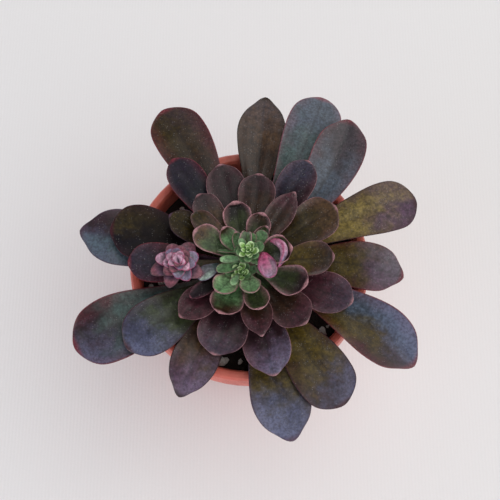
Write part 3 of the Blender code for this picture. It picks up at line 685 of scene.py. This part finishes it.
youngLook = {"midrib": 0.1, "poresAndGlints": 0.2, "blush": 0.15, "roughness": 0.36}
tipLeafWidth = 0.003  # metres, for the spacing of the creases
tipLooks = {
    "lime": {"base": "leaf", "middle": "lime", "tip": "pale", "margin": "pale", "marginWidth": 0.25},
    "green": {"base": "fern", "middle": "leaf", "tip": "mint", "margin": "rose", "marginWidth": 0.10},
    "edged": {"base": "fern", "middle": "leaf", "tip": "leaf", "margin": "shell", "marginWidth": 0.14},
    "petal": {"base": "mist", "middle": "mauve", "tip": "blush", "margin": "magenta", "marginWidth": 0.14},
    "frosted": {"base": "teal", "middle": "mist", "tip": "lavender", "margin": "magenta",
                "marginWidth": 0.16},
    "dusky": {"base": "coal", "middle": "mauve", "tip": "rose", "margin": "wine", "marginWidth": 0.16},
    "stalk": {"base": "teal", "middle": "mist", "tip": "pink", "flank": "frost", "margin": "lavender",
              "marginWidth": 0.2},
    "rolled": {"base": "magenta", "middle": "blush", "tip": "lavender", "flank": "pink", "margin": "pink",
               "marginWidth": 0.2, "poresAndGlints": 0.9},
    # The swollen leaf's pale tint towards the tip is a painted sheen.
    "egg": {"base": "magenta", "middle": "pink", "tip": "lavender", "flank": "mauve", "margin": "pink",
            "marginWidth": 0.2, "waxSheen": 0.4, "waxSheenStart": 0.62, "waxSheenTone": "blush"},
}


def joinLeaves(name, label, leaves, node, seed):
    piece = gridMesh(name, leaves)
    look = {**plainLook, **youngLook, **tipLooks[label]}
    piece.data.materials.append(leafMaterial(name, look, tipLeafWidth, seed * 1.3))
    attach(piece, "root")
    if node:
        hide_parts(node)


whorlTurn, whorlStray = 23, 9  # degrees from one whorl to the next, and a leaf's own stray
whorlShape = {"arch": -0.3, "widest": 0.6, "blunt": 1.9}


# A growing tip: whorls of minute leaves that close over the centre.
def growingTip(name, node, whorls, seed):
    low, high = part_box(node)
    centre = (low + high) / 2
    chance = random.Random(seed)
    groups = {}
    turned = 0
    for whorl in whorls:
        turned += whorlTurn
        for i in range(whorl["count"]):
            heading = turned + 360 * i / whorl["count"] + chance.uniform(-whorlStray, whorlStray)
            out = whorl["out"] * millimetre
            angle = math.radians(heading)
            base = (centre.x + out * math.cos(angle), centre.y + out * math.sin(angle),
                    low.z + whorl["height"] * millimetre)
            leaf = smallLeaf(base, heading, whorl["reach"] * chance.uniform(0.8, 1.2),
                             whorl["width"] * chance.uniform(0.85, 1.15),
                             whorl["rise"] * chance.uniform(0.85, 1.15), cup=whorl["cup"], **whorlShape)
            groups.setdefault(whorl["look"], []).append(leaf)
            chance.random()  # a spare draw, which the shapes of the next leaves depend on
    for label, leaves in groups.items():
        joinLeaves(f"{name}_{label}", label, leaves, node, seed)


heartWhorls = [
    {"look": "edged", "count": 5, "out": 1.4, "height": -1.2,
     "reach": 5.6, "width": 5.0, "rise": 2.0, "cup": 1.0},
    {"look": "green", "count": 5, "out": 1.2, "height": -0.4,
     "reach": 4.6, "width": 4.0, "rise": 2.6, "cup": 0.8},
    {"look": "lime", "count": 5, "out": 0.9, "height": 0.6,
     "reach": 3.4, "width": 2.9, "rise": 2.8, "cup": 0.6},
    {"look": "lime", "count": 4, "out": 0.6, "height": 1.4,
     "reach": 2.2, "width": 2.1, "rise": 2.6, "cup": 0.5},
    {"look": "lime", "count": 3, "out": 0.2, "height": 1.9,
     "reach": 1.0, "width": 1.4, "rise": 2.4, "cup": 0.4},
]
growingTip("heartTipNorth", "heart_bud_north", heartWhorls, 5)
growingTip("heartTipSouth", "heart_bud_south", heartWhorls, 8)

# Young leaves that fill the heart: place in plan and height over the rim, in millimetres.
heartLeaves = [
    {"look": "green", "at": (-4.6, -12.0, 21), "heading": 243, "reach": 6.5, "width": 3.6, "rise": 2.0},
    {"look": "edged", "at": (3.5, -7.5, 20), "heading": 300, "reach": 6.5, "width": 5.0, "rise": 4.0},
    {"look": "edged", "at": (0.5, -1.0, 24), "heading": 95, "reach": 5.5, "width": 6.0, "rise": 4.5},
    {"look": "edged", "at": (2.5, -1.5, 24), "heading": 58, "reach": 8.0, "width": 6.0, "rise": 4.0},
    {"look": "edged", "at": (-2.0, -2.0, 19), "heading": 180,
     "reach": 12.0, "width": 4.6, "rise": 3.0, "roll": 55},
    {"look": "green", "at": (-2.0, -4.5, 20), "heading": 186,
     "reach": 11.0, "width": 4.2, "rise": 2.6, "roll": -50},
    {"look": "edged", "at": (-2.0, -6.5, 18), "heading": 198,
     "reach": 13.0, "width": 6.0, "rise": 2.5, "roll": 20},
    {"look": "green", "at": (0.5, -4.5, 23), "heading": 320,
     "reach": 5.5, "width": 4.4, "rise": 2.5, "roll": 50},
    {"look": "green", "at": (-0.5, -6.0, 22), "heading": 345, "reach": 5.0, "width": 4.0, "rise": 3.0},
]
fillerShape = {"arch": -0.4, "cup": 0.9, "thick": 0.9, "widest": 0.66, "blunt": 2.4}

# The swollen inner pink leaf, placed from its node's box, and the rolled rim of the outer one.
pinkEgg = {"heading": 292, "reach": 12.0, "width": 8.4, "rise": -0.5, "arch": 2.2, "cup": -1.6,
           "thick": 5.2, "widest": 0.52, "blunt": 2.2}
pinkRim = {"heading": 292, "reach": 14.5, "width": 6.4, "rise": 2.4, "arch": 5.4, "cup": 0.4, "thick": 4.6,
           "widest": 0.5, "roll": -80, "blunt": 2.0}
pinkEggOffset = (1.0, 0.6, -4.6)
pinkRimPlace = (7.0, 2.2, 26.0)


def fillHeart():
    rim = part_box("pot")[1].z / millimetre
    for number, leaf in enumerate(heartLeaves):
        x, y, height = leaf["at"]
        base = np.array((x, y, rim + height)) * millimetre
        made = smallLeaf(base, leaf["heading"], leaf["reach"], leaf["width"], leaf["rise"],
                         roll=leaf.get("roll", 0.0), **fillerShape)
        joinLeaves(f"heartFiller_{number + 1}", leaf["look"], [made], None, 20 + number)
    low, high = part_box("pink_leaf_inner")
    base = np.array((low.x, high.y, high.z)) + np.array(pinkEggOffset) * millimetre
    joinLeaves("pinkEgg", "egg", [smallLeaf(base, **pinkEgg)], "pink_leaf_inner", 31)
    x, y, height = pinkRimPlace
    base = np.array((x, y, rim + height)) * millimetre
    joinLeaves("pinkRim", "rolled", [smallLeaf(base, **pinkRim)], None, 33)


fillHeart()
print("growing tips made")

# The side shoot: thick scales wound in a tight spiral, the outer ones long, the inner ones upright.
# Pairs run from the outermost scale to the innermost. The offset is from the side stem's left edge and
# its middle. Each group of scales stands for one leaf of the frame's shoot.
shoot = {"scales": 28, "turn": 137.5, "reach": (12.4, 2.8), "width": (8.0, 4.6), "rise": (2.4, 4.6),
         "height": (17.5, 23.4), "offset": (4.4, -4.0), "firstHeading": 60, "crowding": 0.85,
         "looks": ("dusky", "petal", "frosted", "dusky", "petal", "frosted", "dusky", "petal")}
scaleShape = {"arch": 1.2, "cup": 1.3, "thick": 2.2, "widest": 0.6, "blunt": 1.7}
stalkLeaf = {"heading": 214, "reach": 12.0, "width": 7.4, "rise": 1.0, "arch": 0.8, "cup": 0.6,
             "thick": 1.4, "widest": 0.62, "roll": 14, "blunt": 2.2}
stalkPlace = (-12.5, -6.6, 16.5)


def dressShoot():
    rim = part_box("pot")[1].z
    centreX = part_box("side_stem")[0].x + shoot["offset"][0] * millimetre
    centreY = centreOf("side_stem").y + shoot["offset"][1] * millimetre
    chance = random.Random(4)
    groups = [[] for label in shoot["looks"]]
    turns = [i % len(groups) for i in range(shoot["scales"])]
    chance.shuffle(turns)
    for i in range(shoot["scales"]):
        inward = (i / (shoot["scales"] - 1)) ** shoot["crowding"]
        reach, width, rise, height = [shoot[key][0] + (shoot[key][1] - shoot[key][0]) * inward
                                      for key in ("reach", "width", "rise", "height")]
        heading = shoot["firstHeading"] + shoot["turn"] * i
        base = (centreX, centreY, rim + height * millimetre)
        leaf = smallLeaf(base, heading, reach * chance.uniform(0.9, 1.1), width, rise,
                         roll=chance.uniform(-12, 12), **scaleShape)
        groups[turns[i]].append(leaf)
        chance.random()  # a spare draw, which the shapes of the next scales depend on
    for number, (label, scales) in enumerate(zip(shoot["looks"], groups)):
        joinLeaves(f"shootScales_{number + 1}", label, scales, f"side_shoot_leaf_{number + 1}",
                   40 + number)
    x, y, height = stalkPlace
    base = (x * millimetre, y * millimetre, rim + height * millimetre)
    joinLeaves("shootStalkLeaf", "stalk", [smallLeaf(base, **stalkLeaf)], None, 51)


dressShoot()
print("side shoot dressed")


copying = {"weld": 0.000005, "flatAngle": 0.2}  # metres and degrees


# A smooth copy of a frame piece: same shape, joined facets.
def smoothCopy(node, name, sharpAngle):
    mesh = nodes[node].data.copy()
    mesh.name = name
    mesh.materials.clear()
    joined = bmesh.new()
    joined.from_mesh(mesh)
    bmesh.ops.remove_doubles(joined, verts=joined.verts, dist=copying["weld"])
    bmesh.ops.dissolve_limit(joined, angle_limit=math.radians(copying["flatAngle"]), verts=joined.verts,
                             edges=joined.edges)
    joined.to_mesh(mesh)
    joined.free()
    if mesh.attributes.get("custom_normal"):
        mesh.attributes.remove(mesh.attributes["custom_normal"])
    mesh.shade_smooth()
    mesh.set_sharp_from_angle(angle=math.radians(sharpAngle))
    obj = addObject(name, mesh)
    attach(obj, "root")
    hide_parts(node)
    return obj


potLook = {"colour": (190, 88, 74), "faded": (206, 116, 100), "dark": (140, 52, 40), "roughness": 0.40}


def potMaterial():
    material, tree, shader = newMaterial("potPlastic")
    faded = useGroup(tree, wear, {"Scale": 45.0, "Amount": 0.7, "Seed": 3.0})
    grime = useGroup(tree, wear, {"Scale": 160.0, "Amount": 0.35, "Seed": 9.0})
    colour = mixTones(tree, faded["Mask"], tone(potLook["colour"]), tone(potLook["faded"]))
    colour = mixTones(tree, grime["Mask"], colour, tone(potLook["dark"]))
    tree.links.new(colour, shader.inputs["Base Color"])
    rough = ramp(tree, grain(tree, 240, 4), 0.3, 0.7,
                 potLook["roughness"] - 0.06, potLook["roughness"] + 0.12)
    tree.links.new(rough, shader.inputs["Roughness"])
    height = calc(tree, "ADD", calc(tree, "MULTIPLY", faded["Height"], 0.4), grain(tree, 2600, 3))
    raiseSurface(tree, shader, height, 0.25, 0.0002)
    return material


pot = smoothCopy("pot", "potShell", 30)
pot.data.materials.append(potMaterial())


def stemMaterial():
    material, tree, shader = newMaterial("stemBark")
    scars = useGroup(tree, wear, {"Scale": 220.0, "Amount": 0.9, "Seed": 1.0})
    colour = mixTones(tree, scars["Mask"], tone("bark"), tone("sage"))
    colour = mixTones(tree, ramp(tree, grain(tree, 1300, 4), 0.35, 0.7, 0.0, 0.7), colour, tone("umber"))
    tree.links.new(colour, shader.inputs["Base Color"])
    shader.inputs["Roughness"].default_value = 0.7
    raiseSurface(tree, shader, scars["Height"], 0.7, 0.0004)
    return material


bark = stemMaterial()
for name in ("stem", "side_stem"):
    smoothCopy(name, name + "_bark", 60).data.materials.append(bark)


soilLook = {"dark": (24, 17, 16), "pale": (62, 46, 40), "roughness": 0.95}


def soilMaterial():
    material, tree, shader = newMaterial("peat")
    lumps = grain(tree, 700, 6, None, 0.7)
    colour = mixTones(tree, ramp(tree, lumps, 0.35, 0.65), tone(soilLook["dark"]), tone(soilLook["pale"]))
    tree.links.new(colour, shader.inputs["Base Color"])
    shader.inputs["Roughness"].default_value = soilLook["roughness"]
    raiseSurface(tree, shader, lumps, 1.0, 0.0012)
    return material


peat = soilMaterial()
smoothCopy("soil", "soilBody", 40).data.materials.append(peat)


perliteLook = {"clean": (238, 232, 228), "dusty": (186, 170, 162), "roughness": 0.9}


def perliteMaterial():
    material, tree, shader = newMaterial("perlite")
    dirt = ramp(tree, grain(tree, 900, 4), 0.35, 0.7)
    colour = mixTones(tree, dirt, tone(perliteLook["clean"]), tone(perliteLook["dusty"]))
    tree.links.new(colour, shader.inputs["Base Color"])
    shader.inputs["Roughness"].default_value = perliteLook["roughness"]
    raiseSurface(tree, shader, grain(tree, 2500, 4), 0.8, 0.0004)
    return material


# Loose grains on the soil. Sizes are millimetres, and the soil falls away near the wall.
crumbs = {"count": 900, "smallest": 0.5, "largest": 1.5, "flatness": 0.7, "seed": 11, "chips": ()}
grains = {"count": 90, "smallest": 0.5, "largest": 1.6, "flatness": 0.75, "seed": 12, "chips": (
    (-12.5, -44.0, 2.6), (-18.5, -41.5, 1.6), (-4.0, -44.0, 1.5), (34.0, -30.2, 2.1), (31.2, -31.8, 1.4))}
scattering = {"wallGap": 0.0025, "fall": 0.0025, "roundSize": 0.0012, "sharpAngle": 38}


# Lumpy pebbles of uneven size, joined into one piece. Chips have a place and size of their own.
def scatter(name, settings, material):
    chance = random.Random(settings["seed"])
    flatness = settings["flatness"]
    soilLow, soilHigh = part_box("soil")
    reach = (soilHigh.x - soilLow.x) / 2 - scattering["wallGap"]
    middle = (soilLow + soilHigh) / 2
    pebbles = bmesh.new()
    for chip in [None] * settings["count"] + list(settings["chips"]):
        angle = chance.uniform(0, 2 * math.pi)
        radius = reach * math.sqrt(chance.uniform(0.03, 1.0))
        size = chance.uniform(settings["smallest"], settings["largest"]) * millimetre
        x, y = middle.x + radius * math.cos(angle), middle.y + radius * math.sin(angle)
        if chip:
            x, y, size = [value * millimetre for value in chip]
        outward = math.hypot(x - middle.x, y - middle.y) / (reach + scattering["wallGap"])
        top = soilHigh.z - scattering["fall"] * outward ** 2
        made = bmesh.ops.create_icosphere(pebbles, subdivisions=2 if size > scattering["roundSize"] else 1,
                                          radius=size)
        stretch = Vector((chance.uniform(0.7, 1.3), chance.uniform(0.7, 1.3),
                          flatness * chance.uniform(0.7, 1.2)))
        spin = chance.uniform(0, math.pi)
        for vert in made["verts"]:
            lump = 1 + 0.35 * noise.noise(vert.co * (0.9 / size) + Vector((angle * 40, spin * 9, 0)))
            point = Vector((vert.co.x * stretch.x, vert.co.y * stretch.y, vert.co.z * stretch.z)) * lump
            turnedX = point.x * math.cos(spin) - point.y * math.sin(spin)
            turnedY = point.x * math.sin(spin) + point.y * math.cos(spin)
            vert.co = Vector((x + turnedX, y + turnedY, top + size * flatness * 0.35 + point.z))
    mesh = bpy.data.meshes.new(name)
    pebbles.to_mesh(mesh)
    pebbles.free()
    mesh.shade_smooth()
    mesh.set_sharp_from_angle(angle=math.radians(scattering["sharpAngle"]))
    obj = addObject(name, mesh)
    mesh.materials.append(material)
    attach(obj, "root")


scatter("soilCrumbs", crumbs, peat)
scatter("perliteGrains", grains, perliteMaterial())
print("pot, stems and soil dressed")


# Metres, degrees, watts and millimetres of lens. The camera looks down, tilted a little from upright.
studio = {
    "cameraTilt": 18.3, "cameraDistance": 0.430, "aim": (0.0003, 0.0058, 0.095), "lens": 67.07,
    "lampAim": (0, 0, 0.08), "skyTint": (0.95, 0.96, 0.99, 1.0),
    "horizonPower": 1.55, "overheadPower": 0.16,
    "key": {"place": (0.8, -0.1, 1.6), "size": (2.4, 2.2), "power": 24.5, "colour": (1.0, 0.985, 0.95)},
    "fill": {"place": (-1.0, -0.6, 0.45), "size": (1.0, 0.5), "power": 3.0, "colour": (0.74, 0.82, 1.0)},
    "floorTone": (228, 226, 226), "floorShade": (205, 200, 198), "ribSpacing": 0.0018, "floorHalf": 1.6,
    "floorDrop": 0.0002,
}


def floorMaterial():
    material, tree, shader = newMaterial("paleTable")
    place = put(tree, "ShaderNodeTexCoord").outputs["Object"]
    ribs = put(tree, "ShaderNodeTexWave", {"wave_type": "BANDS", "bands_direction": "X"},
               {"Vector": place, "Scale": 0.314 / studio["ribSpacing"], "Distortion": 0.6,
                "Detail": 2.0, "Detail Scale": 0.6}).outputs[1]
    speck = grain(tree, 800, 4, place)
    shade = calc(tree, "ADD", calc(tree, "MULTIPLY", ribs, 0.35), calc(tree, "MULTIPLY", speck, 0.65))
    colour = mixTones(tree, ramp(tree, shade, 0.2, 0.8, 0.0, 0.10), tone(studio["floorTone"]),
                      tone(studio["floorShade"]))
    tree.links.new(colour, shader.inputs["Base Color"])
    shader.inputs["Roughness"].default_value = 0.85
    raiseSurface(tree, shader, shade, 0.25, 0.0003)
    return material


def softLight(name, lamp):
    data = bpy.data.lights.new(name, "AREA")
    data.shape = "RECTANGLE"
    data.size, data.size_y = lamp["size"]
    data.energy = lamp["power"]
    data.color = lamp["colour"]
    holder = addObject(name, data)
    holder.location = lamp["place"]
    toAim = Vector(studio["lampAim"]) - Vector(lamp["place"])
    holder.rotation_euler = toAim.to_track_quat("-Z", "Y").to_euler()


def makeStudio():
    mesh = bpy.data.meshes.new("floor")
    half = studio["floorHalf"]
    corners = [(-half, -half, 0), (half, -half, 0), (half, half, 0), (-half, half, 0)]
    mesh.from_pydata(corners, [], [(0, 1, 2, 3)])
    floor = addObject("floor", mesh)
    floor.location.z = -studio["floorDrop"]
    mesh.materials.append(floorMaterial())
    softLight("windowLight", studio["key"])
    softLight("fillLight", studio["fill"])

    world = bpy.data.worlds.new("studioWorld")
    world.use_nodes = True
    sky = world.node_tree
    background = sky.nodes["Background"]
    background.inputs["Color"].default_value = studio["skyTint"]
    ray = put(sky, "ShaderNodeTexCoord").outputs["Generated"]
    upward = put(sky, "ShaderNodeSeparateXYZ", None, {0: ray}).outputs["Z"]
    glow = ramp(sky, upward, 0.15, 0.88, studio["horizonPower"], studio["overheadPower"])
    sky.links.new(glow, background.inputs["Strength"])
    scene.world = world

    camera = bpy.data.cameras.new("camera")
    camera.lens = studio["lens"]
    camera.sensor_width = 36
    camera.clip_end = 20
    holder = addObject("camera", camera)
    tilt = math.radians(studio["cameraTilt"])
    toCamera = Vector((0, -math.sin(tilt), math.cos(tilt)))
    holder.location = Vector(studio["aim"]) + toCamera * studio["cameraDistance"]
    holder.rotation_euler = (tilt, 0, 0)
    scene.camera = holder
    scene.view_settings.view_transform = "Standard"


makeStudio()
print("studio ready")
